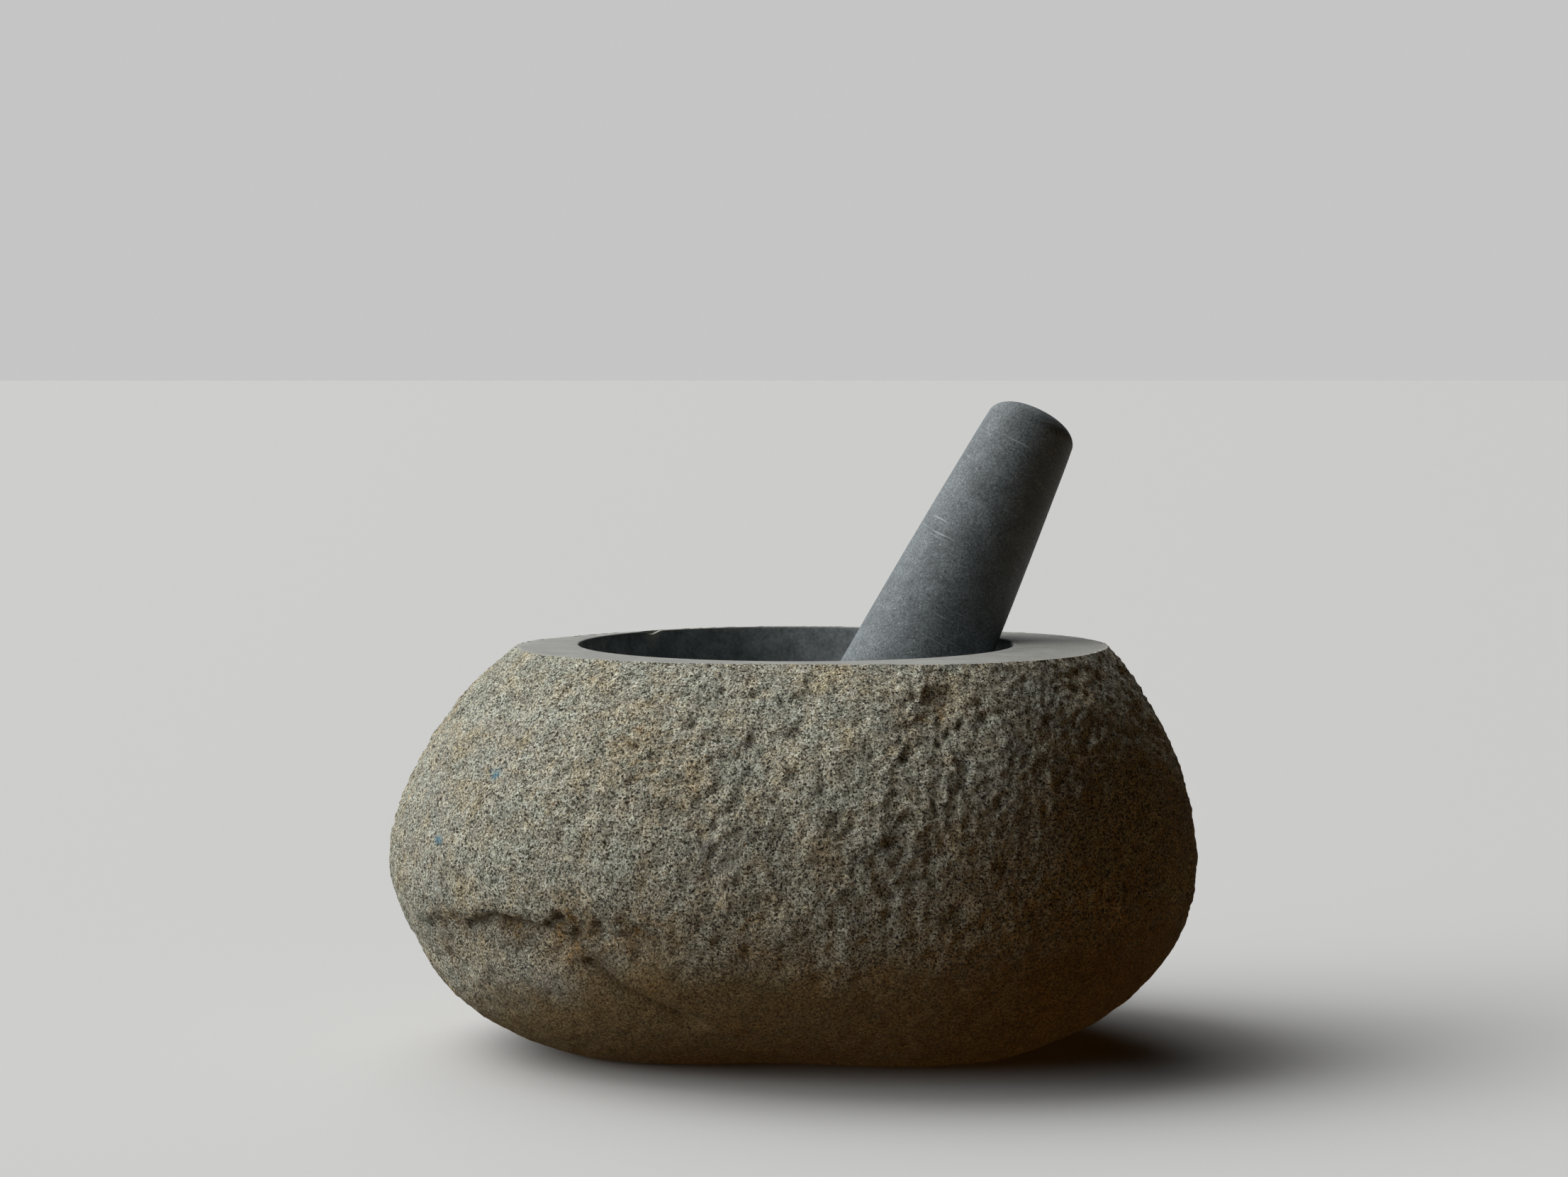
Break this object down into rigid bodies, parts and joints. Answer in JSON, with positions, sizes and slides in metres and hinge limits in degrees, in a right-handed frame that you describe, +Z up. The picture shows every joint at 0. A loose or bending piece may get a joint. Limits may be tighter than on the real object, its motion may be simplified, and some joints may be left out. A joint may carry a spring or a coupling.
{
  "type": "mortar and pestle",
  "caption": "Mortar hollowed from a squat river boulder with a flat sawn rim, and a loose tapered stone pestle that leans in its round bowl, for grinding food by hand.",
  "frame": {"origin": "on the resting face, straight under the middle of the bowl", "axes": "+Z up, +X along the boulder's longer side, towards the side the pestle leans to, +Y to the back"},
  "size_m": [0.2208, 0.1932, 0.1735],
  "materials": {
    "weathered_stone": "rough weathered skin, honed where it was sawn and turned",
    "honed_stone": "honed, with fine grain and light scratches"
  },
  "bodies": {
    "mortar": {"mortar": "weathered_stone"},
    "pestle": {"pestle": "honed_stone"}
  },
  "joints": [
    {"name": "pestle_lift", "type": "slide", "parent": "mortar", "child": "pestle", "axis": [0, 0, 1], "range_m": [0, 0.1]}
  ]
}
